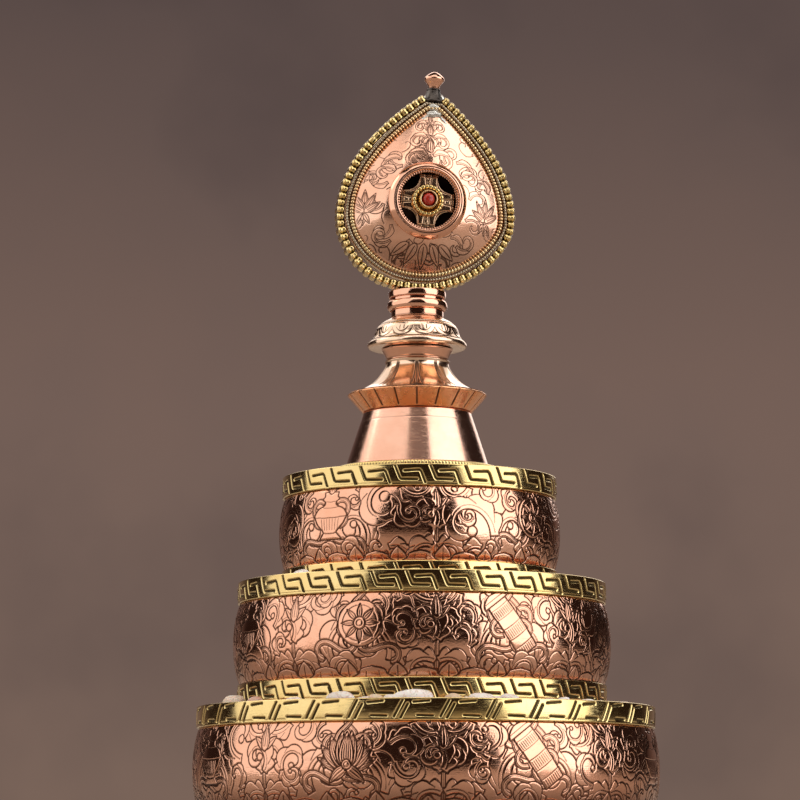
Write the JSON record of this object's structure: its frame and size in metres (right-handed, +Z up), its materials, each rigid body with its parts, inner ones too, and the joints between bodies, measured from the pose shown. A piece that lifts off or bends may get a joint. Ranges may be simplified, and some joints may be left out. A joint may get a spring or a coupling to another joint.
{
  "type": "mandala offering set",
  "caption": "Tiered ritual offering set: engraved copper hoops with brass key-pattern bands stacked on a pan, filled with pebbles, under a copper pedestal bearing a pierced teardrop jewel.",
  "frame": {"origin": "centre of the base pan's foot, on the surface it stands on", "axes": "+Z up through the tip of the ornament, -Y towards the front of the jewel, +X to the viewer's right"},
  "size_m": [0.2, 0.2, 0.3165],
  "materials": {
    "copper": "polished copper sheet, chased and engraved",
    "brass": "polished brass, stamped key pattern",
    "silvered": "silvered brass, darkened",
    "dark_copper": "unpolished copper",
    "coral": "polished cabochon",
    "pebbles": "natural mixed gravel"
  },
  "bodies": {
    "base": {"base_pan": "copper", "base_upper_band": "brass", "base_lower_band": "brass", "pebble_bed_large": "pebbles", "pebble_bed_middle": "pebbles", "pebble_bed_small": "pebbles"},
    "large_ring": {"large_ring_wall": "copper", "large_ring_upper_band": "brass", "large_ring_lower_band": "brass"},
    "middle_ring": {"middle_ring_wall": "copper", "middle_ring_upper_band": "brass", "middle_ring_lower_band": "brass"},
    "small_ring": {"small_ring_wall": "copper", "small_ring_upper_band": "brass", "small_ring_lower_band": "brass"},
    "ornament": {"foot_cone": "copper", "foot_bead_wire": "brass", "lotus_skirt": "copper", "lotus_waist": "copper", "waist_cup": "copper", "upper_lotus": "copper", "neck_tube": "copper", "neck_bead": "copper", "neck_collar": "copper"},
    "jewel": {"jewel_plug": "dark_copper", "jewel_rim_core": "brass", "jewel_gallery_strip": "brass", "jewel_front_shell": "copper", "jewel_back_shell": "copper", "jewel_plain_wire_front": "silvered", "jewel_plain_wire_back": "silvered", "jewel_milled_wire_front": "brass", "jewel_milled_wire_back": "brass", "medallion_bezel_front": "copper", "medallion_bezel_back": "copper", "medallion_star_front": "brass", "medallion_star_back": "brass", "medallion_bead_ring_front": "brass", "medallion_bead_ring_back": "brass", "coral_cup_front": "brass", "coral_cup_back": "brass", "coral_front": "coral", "coral_back": "coral", "tip_ferrule": "silvered", "tip_knob": "copper"}
  },
  "joints": [
    {"name": "large_ring_lift", "type": "slide", "parent": "base", "child": "large_ring", "axis": [0, 0, 1], "range_m": [0, 0.285]},
    {"name": "middle_ring_lift", "type": "slide", "parent": "base", "child": "middle_ring", "axis": [0, 0, 1], "range_m": [0, 0.24]},
    {"name": "small_ring_lift", "type": "slide", "parent": "base", "child": "small_ring", "axis": [0, 0, 1], "range_m": [0, 0.2]},
    {"name": "ornament_lift", "type": "slide", "parent": "base", "child": "ornament", "axis": [0, 0, 1], "range_m": [0, 0.06]},
    {"name": "jewel_pull", "type": "slide", "parent": "ornament", "child": "jewel", "axis": [0, 0, 1], "range_m": [0, 0.03]}
  ]
}
